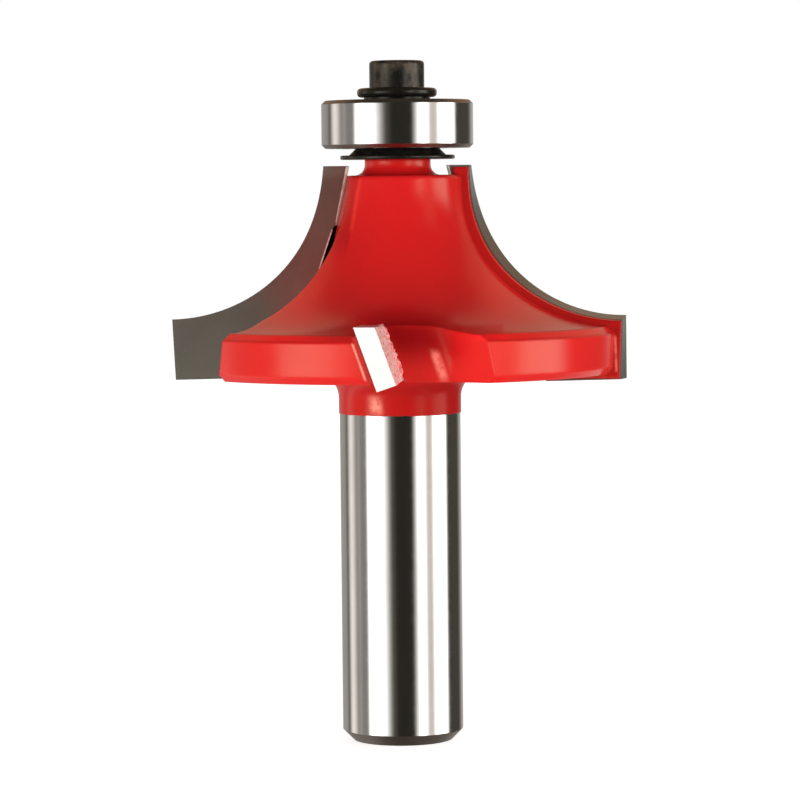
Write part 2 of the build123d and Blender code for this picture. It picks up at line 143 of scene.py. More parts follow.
class Shader:
    """A node tree under construction, with one short method for each kind of node used here."""

    def __init__(self, tree: bpy.types.NodeTree) -> None:
        """Start from an empty tree.

        Args:
            tree: The material's or the world's node tree, which is cleared.
        """
        self.tree = tree
        tree.nodes.clear()

    @classmethod
    def material(cls, name: str) -> tuple[bpy.types.Material, Shader]:
        """Make a new material.

        Args:
            name: The material's name.

        Returns:
            The material and the shader that fills it.
        """
        made = bpy.data.materials.new(name)
        made.use_nodes = True
        return made, cls(made.node_tree)

    def node(self, kind: str, **settings: object) -> bpy.types.Node:
        """Add a node.

        Args:
            kind: The node's type, such as ShaderNodeMath.
            **settings: Properties of the node.

        Returns:
            The new node.
        """
        made = self.tree.nodes.new(kind)
        for name, value in settings.items():
            setattr(made, name, value)
        return made

    def feed(self, socket: bpy.types.NodeSocket, value: Value) -> None:
        """Link a socket to another one, or set it to a plain value.

        Args:
            socket: The input.
            value: An output socket, a number, a colour or a vector.
        """
        if isinstance(value, bpy.types.NodeSocket):
            self.tree.links.new(value, socket)
        elif socket.type == "RGBA" and len(value) == 3:
            socket.default_value = (*value, 1.0)
        else:
            socket.default_value = value

    def split(self, source: Source) -> bpy.types.Node:
        """Add a node whose outputs are the parts of a vector along X, Y and Z.

        Args:
            source: The vector.

        Returns:
            The node.
        """
        parts = self.node("ShaderNodeSeparateXYZ")
        self.feed(parts.inputs[0], self.node("ShaderNodeTexCoord").outputs[source.value])
        return parts

    def place(self, scale: Triple, turn: Triple = (0.0, 0.0, 0.0)) -> Value:
        """Give the piece's own coordinates, scaled and turned.

        Args:
            scale: Repeats per metre along X, Y and Z.
            turn: Angles in degrees about X, Y and Z.

        Returns:
            The vector output.
        """
        mapping = self.node("ShaderNodeMapping")
        self.feed(mapping.inputs["Vector"], self.node("ShaderNodeTexCoord").outputs[Source.PLACE.value])
        mapping.inputs["Scale"].default_value = scale
        mapping.inputs["Rotation"].default_value = [math.radians(angle) for angle in turn]
        return mapping.outputs["Vector"]

    def noise(self, where: Value, octaves: float, fineness: float) -> Value:
        """Add a noise texture.

        Args:
            where: The vector it reads.
            octaves: How many finer noises are added.
            fineness: Weight of the finer noises.

        Returns:
            The noise as a number from 0 to 1.
        """
        made = self.node("ShaderNodeTexNoise")
        self.feed(made.inputs["Vector"], where)
        made.inputs["Scale"].default_value = 1.0
        made.inputs["Detail"].default_value = octaves
        made.inputs["Roughness"].default_value = fineness
        return made.outputs["Fac"]

    def math(self, operation: str, first: Value, second: Value = 0.0) -> Value:
        """Add a math node.

        Args:
            operation: Its operation.
            first: The first number.
            second: The second number.

        Returns:
            The result.
        """
        made = self.node("ShaderNodeMath", operation=operation)
        self.feed(made.inputs[0], first)
        self.feed(made.inputs[1], second)
        return made.outputs[0]

    def times(self, first: Value, *others: Value) -> Value:
        """Multiply numbers.

        Args:
            first: The first number.
            *others: The numbers that multiply it.

        Returns:
            The product.
        """
        for other in others:
            first = self.math("MULTIPLY", first, other)
        return first

    def plus(self, first: Value, second: Value) -> Value:
        """Add two numbers."""
        return self.math("ADD", first, second)

    def minus(self, first: Value, second: Value) -> Value:
        """Take the second number from the first."""
        return self.math("SUBTRACT", first, second)

    def slanted(self, across: Value, up: Value, height: float, lean: float) -> Value:
        """Measure across the front from a line that leans.

        Args:
            across: Place across the front.
            up: Height over the shank's end.
            height: The height at which the line crosses the axis.
            lean: How far the line goes across for each unit up.

        Returns:
            The distance from the line, below 0 on its left.
        """
        return self.minus(across, self.times(self.minus(up, height), lean))

    def step(self, value: Value, limits: Span, ends: tuple[Value, Value] = RISE) -> Value:
        """Change smoothly from one number to another while a value goes from one limit to the other.

        Args:
            value: The value.
            limits: Where the change starts and where it is complete.
            ends: The result at each limit.

        Returns:
            The result.
        """
        made = self.node("ShaderNodeMapRange", interpolation_type="SMOOTHSTEP")
        names = ("Value", "From Min", "From Max", "To Min", "To Max")
        for name, given in zip(names, (value, *limits, *ends)):
            self.feed(made.inputs[name], given)
        return made.outputs["Result"]

    def fade(self, mask: Value, first: Value, second: Value) -> Value:
        """Go smoothly from one number to another while a mask goes from 0 to 1."""
        return self.step(mask, RISE, (first, second))

    def wander(self, noises: tuple[Value, Value], limits: Span, middle: float, spread: Span) -> Value:
        """Let a roughness wander with the sum of two noises.

        Args:
            noises: The two noises.
            limits: The sums at which the roughness is at its least and at its most.
            middle: The finish's roughness.
            spread: Its least and its most, as shares of the middle.

        Returns:
            The roughness.
        """
        least, most = spread
        return self.step(self.plus(*noises), limits, (middle * least, middle * most))

    def blend(self, share: Value, first: Value, second: Value, mode: str = "MIX") -> Value:
        """Mix two colours.

        Args:
            share: The second colour's share.
            first: The first colour.
            second: The second colour.
            mode: How they are mixed.

        Returns:
            The colour output.
        """
        made = self.node("ShaderNodeMix", data_type="RGBA", blend_type=mode)
        self.feed(made.inputs[0], share)
        for place, colour in zip(MIX_COLOURS, (first, second)):
            self.feed(made.inputs[place], colour)
        return made.outputs[MIX_RESULT]

    def facing(self, way: Way) -> Value:
        """Say how squarely a face looks one way.

        Args:
            way: The way.

        Returns:
            The cosine of the angle between the face's normal and the way.
        """
        given = self.node("ShaderNodeTexCoord").outputs
        if way is Way.ROUND:
            level = self.node("ShaderNodeVectorMath", operation="CROSS_PRODUCT")
            self.feed(level.inputs[0], (0.0, 0.0, 1.0))
            self.feed(level.inputs[1], given[Source.PLACE.value])
        else:
            level = self.node("ShaderNodeVectorMath", operation="MULTIPLY")
            self.feed(level.inputs[0], given[Source.PLACE.value])
            self.feed(level.inputs[1], (-1.0, -1.0, 0.0))
        unit = self.node("ShaderNodeVectorMath", operation="NORMALIZE")
        self.feed(unit.inputs[0], level.outputs["Vector"])
        cosine = self.node("ShaderNodeVectorMath", operation="DOT_PRODUCT")
        self.feed(cosine.inputs[0], unit.outputs["Vector"])
        self.feed(cosine.inputs[1], given[Source.NORMAL.value])
        return cosine.outputs["Value"]

    def rounded(self, radius: float) -> Value:
        """Give the normal of edges rounded to a radius.

        Args:
            radius: In metres.

        Returns:
            The normal output.
        """
        made = self.node("ShaderNodeBevel", samples=BEVEL_SAMPLES)
        made.inputs["Radius"].default_value = radius
        return made.outputs["Normal"]

    def bump(self, height: Value, depth: float, normal: Value) -> Value:
        """Raise a surface by a height.

        Args:
            height: From 0 to 1.
            depth: What a height of 1 stands for, in metres.
            normal: The normal it starts from.

        Returns:
            The normal output.
        """
        made = self.node("ShaderNodeBump")
        made.inputs["Distance"].default_value = depth
        self.feed(made.inputs["Height"], height)
        self.feed(made.inputs["Normal"], normal)
        return made.outputs["Normal"]

    def principled(self, **inputs: Value) -> bpy.types.Node:
        """Add a Principled shader.

        Args:
            **inputs: Values or sockets by the input's name, with underscores for spaces.

        Returns:
            The shader node.
        """
        made = self.node("ShaderNodeBsdfPrincipled")
        for name, value in inputs.items():
            self.feed(made.inputs[name.replace("_", " ")], value)
        return made

    def mix(self, share: Value, first: bpy.types.Node, second: bpy.types.Node) -> bpy.types.Node:
        """Mix two shaders.

        Args:
            share: The second shader's share.
            first: The first shader.
            second: The second shader.

        Returns:
            The mixing node.
        """
        made = self.node("ShaderNodeMixShader")
        for socket, value in zip(made.inputs, (share, first.outputs[0], second.outputs[0])):
            self.feed(socket, value)
        return made

    def finish(self, shader: bpy.types.Node) -> None:
        """Link a shader to the material's output."""
        self.feed(self.node("ShaderNodeOutputMaterial").inputs["Surface"], shader.outputs[0])


@dataclass(frozen=True)
class Grain:
    """A noise on the piece's own coordinates, by its repeats per metre along X, Y and Z."""

    scale: Triple
    octaves: float = 2.0
    fineness: float = 0.5
    turn: Triple = (0.0, 0.0, 0.0)

    def value(self, work: Shader) -> Value:
        """Add the noise to a tree and give it as a number from 0 to 1."""
        return work.noise(work.place(self.scale, self.turn), self.octaves, self.fineness)


@dataclass(frozen=True)
class GroundSteel:
    """Bare steel ground round its axis, as on the shank and the bearing's rings.

    Faces square to the axis are duller than those round it.
    """

    colour: Colour = (0.60, 0.585, 0.56)
    stains: Grain = Grain((260, 260, 90), 3.0, 0.6)
    stain_limits: Span = (0.35, 0.75)
    stain_shade: float = 0.9
    roughness: float = 0.13
    rough_limits: Span = (0.7, 1.4)
    rough_spread: Span = (0.85, 1.3)
    bands: Grain = Grain((40, 40, 900))
    stretch: float = 0.5
    stretch_turn: float = 0.25
    lines: Grain = Grain((120, 120, 1 / (0.06 * MILLIMETRE)), 3.0, 0.7)
    line_depth: float = 0.35e-6
    edge_round: float = 0.08 * MILLIMETRE
    dull_colour: Colour = (0.27, 0.235, 0.20)
    dull_roughness: float = 0.38
    dull_limits: Span = (0.25, 0.55)

    def shader(self, work: Shader) -> bpy.types.Node:
        """Add the steel to a tree.

        Args:
            work: The tree.

        Returns:
            The shader node.
        """
        stains = self.stains.value(work)
        shade = scaled(self.colour, self.stain_shade)
        colour = work.blend(work.step(stains, self.stain_limits), self.colour, shade)
        noises = (self.bands.value(work), stains)
        rough = work.wander(noises, self.rough_limits, self.roughness, self.rough_spread)
        tangent = work.node("ShaderNodeTangent", direction_type="RADIAL", axis="Z")
        upright = work.math("ABSOLUTE", work.split(Source.NORMAL).outputs["Z"])
        dull = work.step(upright, self.dull_limits)
        return work.principled(
            Base_Color=work.blend(dull, colour, self.dull_colour),
            Metallic=1.0,
            Roughness=work.fade(dull, rough, self.dull_roughness),
            Anisotropic=self.stretch,
            Anisotropic_Rotation=self.stretch_turn,
            Tangent=tangent.outputs[0],
            Normal=work.bump(self.lines.value(work), self.line_depth, work.rounded(self.edge_round)),
        )


@dataclass(frozen=True)
class PaintedHighlight:
    """A painted highlight: a narrow patchy band of lighter colour along a slanting line.

    Its two ends are given across and up as seen from the front, and every length is in millimetres.
    """

    start: Point
    end: Point
    half_width: float
    blur: float
    share: float
    colour: Colour
    patches: Grain = Grain(even(1300), 3.0, 0.65)
    patch_limits: Span = (0.32, 0.60)
    patch_share: float = 0.45

    def mask(self, work: Shader, across: Value, up: Value) -> Value:
        """Say where the band lies.

        Args:
            work: The tree.
            across: Place across the front.
            up: Height over the shank's end.

        Returns:
            The band's share, from 0 to 1.
        """
        lean = (self.end[0] - self.start[0]) / (self.end[1] - self.start[1])
        line = work.slanted(across, up, self.start[1], lean)
        away = work.math("ABSOLUTE", work.minus(line, self.start[0]))
        patches = self.patches.value(work)
        share = work.step(patches, self.patch_limits, (self.patch_share * self.share, self.share))
        low, high = sorted((self.start[1], self.end[1]))
        return work.times(
            work.step(away, (self.half_width, self.half_width + self.blur), (share, 0.0)),
            work.step(up, around(low, self.blur)),
            work.step(up, around(high, self.blur), FALL),
        )


class Survey:
    """Measures of every point of the head, which are the same half a turn further round the axis."""

    scoop_height: float = 43.0
    scoop_lean: float = -0.45
    crease_height: float = 59.0
    crease_lean: float = 1 / 6
    wing_way: Triple = (0.243, 0.908, 0.342)

    def __init__(self, work: Shader) -> None:
        """Add the measures' nodes to a tree.

        Args:
            work: The tree.
        """
        self.work = work
        place = work.split(Source.PLACE).outputs
        normal = work.split(Source.NORMAL).outputs
        across = work.times(place["X"], work.math("SIGN", place["Y"]), -PER_METRE)
        up = work.times(place["Z"], PER_METRE)
        square = work.plus(work.math("POWER", place["X"], 2.0), work.math("POWER", place["Y"], 2.0))
        along, ahead, above = self.wing_way
        level = work.minus(work.times(normal["X"], along), work.times(normal["Y"], ahead))
        self.values: dict[Measure, Value] = {
            Measure.ACROSS: across,
            Measure.SIDE: work.math("ABSOLUTE", across),
            Measure.UP: up,
            Measure.RADIUS: work.times(work.math("SQRT", square), PER_METRE),
            Measure.OUT: work.times(work.math("ABSOLUTE", place["Y"]), PER_METRE),
            Measure.SCOOP_LINE: work.slanted(across, up, self.scoop_height, self.scoop_lean),
            Measure.CREASE_LINE: work.slanted(across, up, self.crease_height, self.crease_lean),
            Measure.SLOPE: normal["Z"],
            Measure.WING_TURN: work.plus(work.math("ABSOLUTE", level), work.times(normal["Z"], above)),
        }


@dataclass(frozen=True)
class Region:
    """A part of the head inside soft limits: above those of some measures and below those of others."""

    above: Mapping[Measure, Span] = field(default_factory=dict)
    below: Mapping[Measure, Span] = field(default_factory=dict)

    def mask(self, survey: Survey) -> Value:
        """Say where the region lies.

        Args:
            survey: The head's measures.

        Returns:
            The mask, 1 inside the region and 0 outside it.
        """
        work = survey.work
        steps = [work.step(survey.values[measure], limits) for measure, limits in self.above.items()]
        steps += [work.step(survey.values[measure], limits, FALL) for measure, limits in self.below.items()]
        return work.times(*steps)


@dataclass(frozen=True)
class ShadingAndGloss:
    """How the coating is changed in a region: the share of its colour taken off as painted shade, the share
    of gloss it loses, and any near-black painted shade laid over it.

    A darkening below 0 is painted light, which brightens the colour.
    """

    region: Region
    painted_darkening: float = 0.0
    gloss_loss: float = 0.0
    paint: Colour | None = None


@dataclass(frozen=True)
class RedCoating:
    """Glossy red coating over the head, with the shank below a slightly ragged line left as bare steel.

    Painted shade darkens the hub under the head, each wing's back and the rim's end beside it, and the facet
    left of a crease; the hub and the wings' backs also mirror less. Painted light brightens the land round
    the rim and the cove's lip. The pocket's ramp mirrors less. The well, which is the blade's seat, is
    painted near-black as shade and mirrors nothing. The scoop is the top of the pocket in front of each shear
    tip, darkened with painted shade. Narrow bands of lighter colour are painted highlights.
    """

    colour: Colour = (0.650, 0.0120, 0.0110)
    deep_colour: Colour = (0.590, 0.0095, 0.0110)
    cloud: Grain = Grain(even(90), 3.0, 0.55)
    cloud_limits: Span = (0.3, 0.75)
    gloss: float = 0.5
    gloss_tint: Colour = (0.25, 0.82, 0.58)
    roughness: float = 0.21
    rough_limits: Span = (0.6, 1.4)
    rough_spread: Span = (0.8, 1.25)
    peel: Grain = Grain(even(700))
    peel_depth: float = 3.0e-6
    grain: Grain = Grain(even(4600), 2.0, 0.6)
    grain_depth: float = 0.9e-6
    edge_round: float = 0.36 * MILLIMETRE
    line_height: float = 34.5 * MILLIMETRE
    line_wander: float = 0.35 * MILLIMETRE
    line_blur: float = 0.02 * MILLIMETRE
    line_noise: Grain = Grain((1500, 1500, 300), 3.0, 0.6)
    scoop: Region = Region(
        above={Measure.SCOOP_LINE: (-4.5, 0.0), Measure.UP: (39.4, 43.0), Measure.OUT: (8.0, 12.0)},
        below={Measure.SCOOP_LINE: (2.5, 7.5), Measure.UP: (43.6, 46.8)},
    )
    # Painted shade: the dark colour laid over the scoop.
    scoop_shade_colour: Colour = (0.20, 0.0035, 0.0050)
    scoop_share: float = 0.8
    # Painted shade on the hub under the head, weaker on its left, with less gloss.
    hub: ShadingAndGloss = ShadingAndGloss(
        Region(below={Measure.UP: (37.2, 38.9), Measure.RADIUS: (8.5, 10.5)}),
        painted_darkening=0.46,
        gloss_loss=0.7,
    )
    hub_sides: Span = (-6.0, 5.0)
    hub_left_share: float = 0.5
    # Painted shade on each wing's back, with less gloss.
    wing: ShadingAndGloss = ShadingAndGloss(
        Region(above={Measure.WING_TURN: (0.975, 0.99), Measure.SIDE: (5.4, 5.9)}),
        painted_darkening=0.31,
        gloss_loss=0.4,
    )
    # The rim's end beside a wing's back, which gets the wing's painted shade.
    rim: Region = Region(above={Measure.RADIUS: (22.66, 22.74)}, below={Measure.UP: (44.2, 44.8)})
    # Painted shade on the facet left of the crease.
    facet: ShadingAndGloss = ShadingAndGloss(
        Region(
            above={Measure.UP: (49.5, 54.0)},
            below={Measure.UP: (59.2, 59.6), Measure.CREASE_LINE: (-4.1, -3.9)},
        ),
        painted_darkening=0.24,
    )
    # Painted light: the land round the rim and the cove's lip are brightened.
    land: ShadingAndGloss = ShadingAndGloss(Region(above={Measure.RADIUS: (22.3, 22.5)}), painted_darkening=-0.05)
    lip: ShadingAndGloss = ShadingAndGloss(
        Region(
            above={Measure.SIDE: (5.0, 12.0), Measure.UP: (42.6, 43.0)},
            below={Measure.UP: (46.0, 54.0), Measure.RADIUS: (22.3, 22.5)},
        ),
        painted_darkening=-0.38,
    )
    ramp: ShadingAndGloss = ShadingAndGloss(
        Region(
            above={Measure.ACROSS: (4.7, 5.5), Measure.RADIUS: (15.0, 17.0)},
            below={Measure.ACROSS: (10.2, 10.8), Measure.RADIUS: (22.35, 22.55), Measure.UP: (44.0, 44.6)},
        ),
        gloss_loss=0.85,
    )
    # Painted shade: the blade's seat, where the gap lies in shadow, is painted near-black and mirrors
    # nothing.
    well: ShadingAndGloss = ShadingAndGloss(
        Region(
            above={Measure.UP: (48.5, 49.5)},
            below={Measure.UP: (55.2, 55.6), Measure.SLOPE: (-0.22, -0.14)},
        ),
        gloss_loss=1.0,
        paint=(0.018, 0.0045, 0.0022),
    )
    # Painted highlights: the pocket's fold, beside each shear tip, the land by a wing, the left facet's
    # crease and the hub.
    painted_highlights: tuple[PaintedHighlight, ...] = (
        PaintedHighlight((3.55, 41.6), (4.40, 38.9), 0.10, 0.62, 1.0, (0.95, 0.21, 0.16)),
        PaintedHighlight((-4.66, 42.75), (-3.38, 39.05), 0.02, 0.17, 1.0, (0.95, 0.30, 0.22)),
        PaintedHighlight((22.43, 42.4), (22.43, 38.8), 0.02, 0.20, 0.9, (0.92, 0.17, 0.12)),
        PaintedHighlight((-3.95, 59.0), (-4.85, 53.6), 0.02, 0.34, 0.45, (0.86, 0.045, 0.030)),
        PaintedHighlight((-2.6, 36.25), (-2.4, 34.8), 0.10, 0.85, 1.0, (0.86, 0.26, 0.20)),
    )
    steel: GroundSteel = GroundSteel()

    def material(self) -> bpy.types.Material:
        """Build the material.

        Returns:
            The material of the one-piece body.
        """
        made, work = Shader.material("red_coating_over_steel")
        height = work.split(Source.PLACE).outputs["Z"]
        level = work.plus(work.times(self.line_noise.value(work), self.line_wander), height)
        coated = work.step(level, around(self.line_height + self.line_wander / 2, self.line_blur))
        work.finish(work.mix(coated, self.steel.shader(work), self.coat(work)))
        return made

    def masks(self, work: Shader, survey: Survey) -> tuple[tuple[ShadingAndGloss, Value], ...]:
        """Mask the regions of the coating that get painted light or shade, or mirror less.

        The hub's painted shade is weaker on its left. The rim's end counts as a wing's back, and not as land
        or lip.

        Args:
            work: The tree.
            survey: The head's measures.

        Returns:
            Each region's painted shading and gloss with its mask.
        """
        left_fade = work.step(survey.values[Measure.ACROSS], self.hub_sides, (self.hub_left_share, 1.0))
        rim = self.rim.mask(survey)
        wing = work.math("MAXIMUM", self.wing.region.mask(survey), rim)
        return (
            (self.hub, work.times(self.hub.region.mask(survey), left_fade)),
            (self.wing, wing),
            (self.facet, self.facet.region.mask(survey)),
            (self.land, work.minus(self.land.region.mask(survey), rim)),
            (self.lip, work.times(self.lip.region.mask(survey), work.minus(1.0, wing))),
            (self.ramp, self.ramp.region.mask(survey)),
            (self.well, self.well.region.mask(survey)),
        )

    def coat(self, work: Shader) -> bpy.types.Node:
        """Add the coating alone to a tree.

        Args:
            work: The tree.

        Returns:
            The shader node.
        """
        survey = Survey(work)
        masks = self.masks(work, survey)
        scoop = self.scoop.mask(survey)
        cloud = self.cloud.value(work)
        grain = self.grain.value(work)
        # Painted light and shade of the regions, as a factor on the colour.
        light: Value = 1.0
        gloss = work.times(work.minus(1.0, scoop), self.gloss)
        for shading, mask in masks:
            if shading.painted_darkening:
                light = work.times(work.fade(mask, 1.0, 1.0 - shading.painted_darkening), light)
            if shading.gloss_loss:
                gloss = work.times(work.fade(mask, 1.0, 1.0 - shading.gloss_loss), gloss)
        colour = work.blend(work.step(cloud, self.cloud_limits), self.colour, self.deep_colour)
        # Painted shade in the scoop.
        colour = work.blend(work.times(scoop, self.scoop_share), colour, self.scoop_shade_colour)
        colour = work.blend(1.0, colour, light, "MULTIPLY")
        # Near-black painted shade over the well.
        for shading, mask in masks:
            if shading.paint:
                colour = work.blend(mask, colour, shading.paint)
        # Painted highlights, laid over the colour.
        for painted_band in self.painted_highlights:
            share = painted_band.mask(work, survey.values[Measure.ACROSS], survey.values[Measure.UP])
            colour = work.blend(share, colour, painted_band.colour)
        peeled = work.bump(self.peel.value(work), self.peel_depth, work.rounded(self.edge_round))
        return work.principled(
            Base_Color=colour,
            Roughness=work.wander((cloud, grain), self.rough_limits, self.roughness, self.rough_spread),
            Specular_IOR_Level=gloss,
            Specular_Tint=self.gloss_tint,
            Normal=work.bump(grain, self.grain_depth, peeled),
        )


@dataclass(frozen=True)
class TungstenCarbide:
    """Fine-ground tungsten carbide: dull olive grey under a half-mirror, with straight grinding lines.

    The narrow faces towards the axis and the rims beside them carry a pale painted highlight with a faint
    glow, and the flanks on the outside are darkened with painted shade and mirror less. A coated rake face
    has caught the red coating and sparkles.
    """

    colour: Colour = (0.105, 0.099, 0.080)
    cloud: Grain = Grain(even(160), 4.0, 0.6)
    cloud_limits: Span = (0.3, 0.7)
    cloud_shade: float = 0.86
    speck: Grain = Grain(even(9000), 1.0)
    speck_limits: Span = (0.70, 0.78)
    speck_share: float = 0.3
    speck_shade: float = 0.5
    lines: Grain = Grain((9000, 60, 60), 3.0, 0.65, (0, 38, 0))
    line_depth: float = 0.12e-6
    edge_round: float = 0.05 * MILLIMETRE
    mirror_index: float = 2.3
    mirror_tint: Colour = (1.0, 0.96, 0.86)
    metallic: float = 0.0
    roughness: float = 0.24
    rough_limits: Span = (0.6, 1.4)
    rough_spread: Span = (0.9, 1.15)
    # Painted highlight on the edges, with an emitted glow though they are no lamp.
    edge_highlight_colour: Colour = EDGE_HIGHLIGHT
    edge_highlight_glow: float = 0.30
    edge_limits: Span = (0.75, 0.9)
    rims: tuple[PaintedHighlight, ...] = (
        PaintedHighlight((5.28, 60.3), (6.47, 54.5), 0.07, 0.08, 1.0, EDGE_HIGHLIGHT),
        PaintedHighlight((6.93, 53.7), (8.33, 49.6), 0.06, 0.09, 1.0, EDGE_HIGHLIGHT),
    )
    # Painted shade: the outer flanks are darker and mirror less.
    flank_colour: Colour = (0.034, 0.034, 0.026)
    flank_tint: Colour = (0.62, 0.60, 0.52)
    flank_limits: Span = (-0.7, -0.3)
    coated_rake: bool = False
    rake_colour: Colour = (0.74, 0.11, 0.10)
    rake_spark: Colour = GRAIN_SPARK
    rake_limits: Span = (0.6, 0.8)
    rake_grain: Grain = Grain(even(3400), 3.0, 0.7)
    rake_grain_limits: Span = (0.42, 0.54)
    rake_depth: float = 0.14 * MILLIMETRE

    def edges(self, work: Shader, inward: Value) -> Value:
        """Mask the edges that carry the painted highlight.

        Args:
            work: The tree.
            inward: How squarely each face looks in to the axis.

        Returns:
            The mask, from 0 to 1.
        """
        place = work.split(Source.PLACE).outputs
        side = work.times(work.math("ABSOLUTE", place["X"]), PER_METRE)
        up = work.times(place["Z"], PER_METRE)
        mask = work.step(inward, self.edge_limits)
        for rim in self.rims:
            mask = work.math("MAXIMUM", mask, rim.mask(work, side, up))
        return mask

    def material(self, name: str) -> bpy.types.Material:
        """Build the material.

        Args:
            name: The material's name.

        Returns:
            The material.
        """
        made, work = Shader.material(name)
        lines = self.lines.value(work)
        cloud = self.cloud.value(work)
        inward = work.facing(Way.INWARD)
        flank = work.step(inward, self.flank_limits, FALL)
        edge = self.edges(work, inward)
        cloud_share = work.step(cloud, self.cloud_limits)
        speck_share = work.step(self.speck.value(work), self.speck_limits, (0.0, self.speck_share))
        colour = work.blend(cloud_share, self.colour, scaled(self.colour, self.cloud_shade))
        colour = work.blend(speck_share, colour, scaled(self.colour, self.speck_shade))
        # Painted shade on the outer flanks.
        colour = work.blend(flank, colour, self.flank_colour)
        # Painted highlight on the edges; the same mask drives the glow.
        colour = work.blend(edge, colour, self.edge_highlight_colour)
        metallic: Value = self.metallic
        normal = work.bump(lines, self.line_depth, work.rounded(self.edge_round))
        if self.coated_rake:
            rake = work.step(work.facing(Way.ROUND), self.rake_limits)
            grain = self.rake_grain.value(work)
            coat = work.blend(work.step(grain, self.rake_grain_limits), self.rake_colour, self.rake_spark)
            colour = work.blend(rake, colour, coat)
            metallic = work.fade(rake, self.metallic, 0.0)
            normal = work.bump(work.times(grain, rake), self.rake_depth, normal)
        work.finish(
            work.principled(
                Base_Color=colour,
                Metallic=metallic,
                Roughness=work.wander((cloud, lines), self.rough_limits, self.roughness, self.rough_spread),
                IOR=self.mirror_index,
                Specular_Tint=work.blend(flank, self.mirror_tint, self.flank_tint),
                Emission_Color=self.edge_highlight_colour,
                Emission_Strength=work.times(edge, self.edge_highlight_glow),
                Normal=normal,
            )
        )
        return made


@dataclass(frozen=True)
class BlackOxide:
    """Black oxide on turned steel: near-black, oily, and mottled where it is worn."""

    colour: Colour = (0.012, 0.011, 0.0095)
    worn_colour: Colour = (0.070, 0.052, 0.036)
    mottle: float = 0.5
    cloud: Grain = Grain((520, 520, 420), 4.0, 0.65)
    cloud_limits: Span = (0.42, 0.68)
    metallic: float = 0.3
    oil: float = 0.35
    oil_tint: Colour = (1.0, 0.93, 0.80)
    roughness: float = 0.30
    rough_limits: Span = (0.6, 1.4)
    rough_spread: Span = (0.75, 1.35)
    fine: Grain = Grain(even(4200), 2.0, 0.6)
    fine_depth: float = 1.2e-6
    rings: Grain = Grain((160, 160, 9000), 2.0, 0.6)
    ring_depth: float = 0.5e-6
    edge_round: float = 0.08 * MILLIMETRE

    def material(self, name: str) -> bpy.types.Material:
        """Build the material.

        Args:
            name: The material's name.

        Returns:
            The material.
        """
        made, work = Shader.material(name)
        cloud = self.cloud.value(work)
        fine = self.fine.value(work)
        worn = work.times(work.step(cloud, self.cloud_limits), self.mottle)
        turned = work.bump(self.rings.value(work), self.ring_depth, work.rounded(self.edge_round))
        work.finish(
            work.principled(
                Base_Color=work.blend(worn, self.colour, self.worn_colour),
                Metallic=self.metallic,
                Roughness=work.wander((cloud, fine), self.rough_limits, self.roughness, self.rough_spread),
                Specular_IOR_Level=self.oil,
                Specular_Tint=self.oil_tint,
                Normal=work.bump(fine, self.fine_depth, turned),
            )
        )
        return made


@dataclass(frozen=True)
class CoatedBraze:
    """Rough braze under the red coating, which sparkles where its grains catch the light."""

    colour: Colour = (0.93, 0.20, 0.18)
    spark: Colour = GRAIN_SPARK
    roughness: float = 0.42
    grain: Grain = Grain(even(4200), 3.0, 0.7)
    grain_limits: Span = (0.5, 0.62)
    grain_depth: float = 0.09 * MILLIMETRE
    edge_round: float = 0.05 * MILLIMETRE

    def material(self) -> bpy.types.Material:
        """Build the material.

        Returns:
            The material.
        """
        made, work = Shader.material("coated_braze")
        grain = self.grain.value(work)
        work.finish(
            work.principled(
                Base_Color=work.blend(work.step(grain, self.grain_limits), self.colour, self.spark),
                Roughness=self.roughness,
                Normal=work.bump(grain, self.grain_depth, work.rounded(self.edge_round)),
            )
        )
        return made


def dress(node: bpy.types.Object, material: bpy.types.Material) -> None:
    """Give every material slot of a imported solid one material.

    Args:
        node: The solid's object.
        material: The material.
    """
    for place in node.material_slots:
        place.material = material


@dataclass
class CutterHead:
    """The one-piece steel body: shank, hub, flared head and pilot stub."""

    coating: RedCoating = RedCoating()

    def build(self, frame: dict) -> list[bpy.types.Object]:
        """Dress the body.


        Returns:
            The pieces.
        """
        body = frame["nodes"]["cutter_body"]
        dress(body, self.coating.material())
        return [body]


@dataclass
class CarbideCutters:
    """The two main blades and the two shear tips."""

    blade_finish: TungstenCarbide = TungstenCarbide()
    tip_finish: TungstenCarbide = TungstenCarbide(
        colour=SILVER,
        mirror_index=1.5,
        metallic=0.7,
        roughness=0.32,
        edge_highlight_glow=0.0,
        rims=(),
        flank_colour=SILVER,
        flank_tint=WHITE,
        coated_rake=True,
    )

    def build(self, frame: dict) -> list[bpy.types.Object]:
        """Dress the four cutters.


        Returns:
            The pieces.
        """
        blade = self.blade_finish.material("ground_carbide_blade")
        tip = self.tip_finish.material("ground_carbide_tip")
        made = []
        for name, material in (("main_blade_", blade), ("shear_tip_", tip)):
            for side in (1, 2):
                piece = frame["nodes"][f"{name}{side}"]
                dress(piece, material)
                made.append(piece)
        return made


